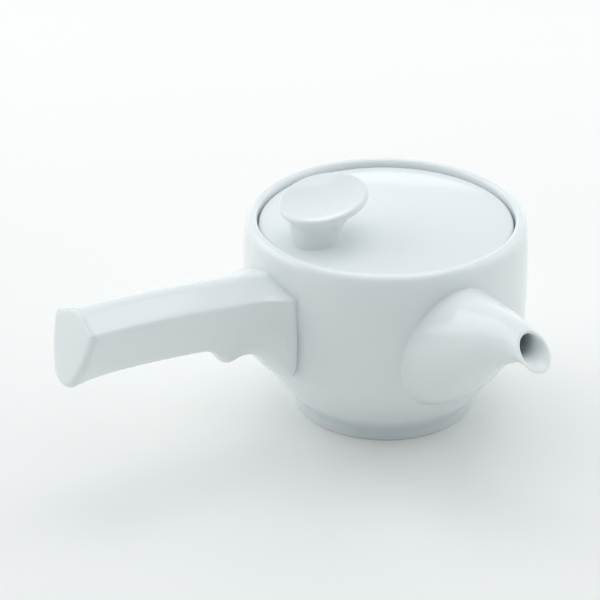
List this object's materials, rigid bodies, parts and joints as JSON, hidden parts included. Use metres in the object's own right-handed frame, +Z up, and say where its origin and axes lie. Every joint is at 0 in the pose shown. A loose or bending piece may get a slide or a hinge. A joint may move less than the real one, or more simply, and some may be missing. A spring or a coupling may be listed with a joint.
{
  "type": "side-handled teapot",
  "caption": "White glazed porcelain teapot with a side handle, an oblique pouring spout, a drop-in lid with an off-centre tilted thumb knob and a lift-out steel strainer basket.",
  "frame": {"origin": "centre of the foot ring, on the plane that it stands on", "axes": "+Z up along the bowl's axis, -Y from the bowl's axis along the handle, +X close to the spout, which stands 85.5 degrees round from the handle"},
  "size_m": [0.1653, 0.1998, 0.099],
  "materials": {
    "porcelain": "gloss",
    "steel": "satin",
    "steel_mesh": "woven mesh"
  },
  "bodies": {
    "pot": {"pot_bowl": "porcelain", "spout": "porcelain", "handle": "porcelain"},
    "strainer": {"strainer_rim": "steel", "strainer_sleeve": "steel_mesh", "strainer_floor": "steel_mesh", "strainer_base_ring": "steel"},
    "lid": {"lid": "porcelain", "lid_knob": "porcelain"}
  },
  "joints": [
    {"name": "strainer_lift", "type": "slide", "parent": "pot", "child": "strainer", "axis": [0, 0, 1], "range_m": [0, 0.055]},
    {"name": "lid_lift", "type": "slide", "parent": "strainer", "child": "lid", "axis": [0, 0, 1], "range_m": [0, 0.06]}
  ]
}
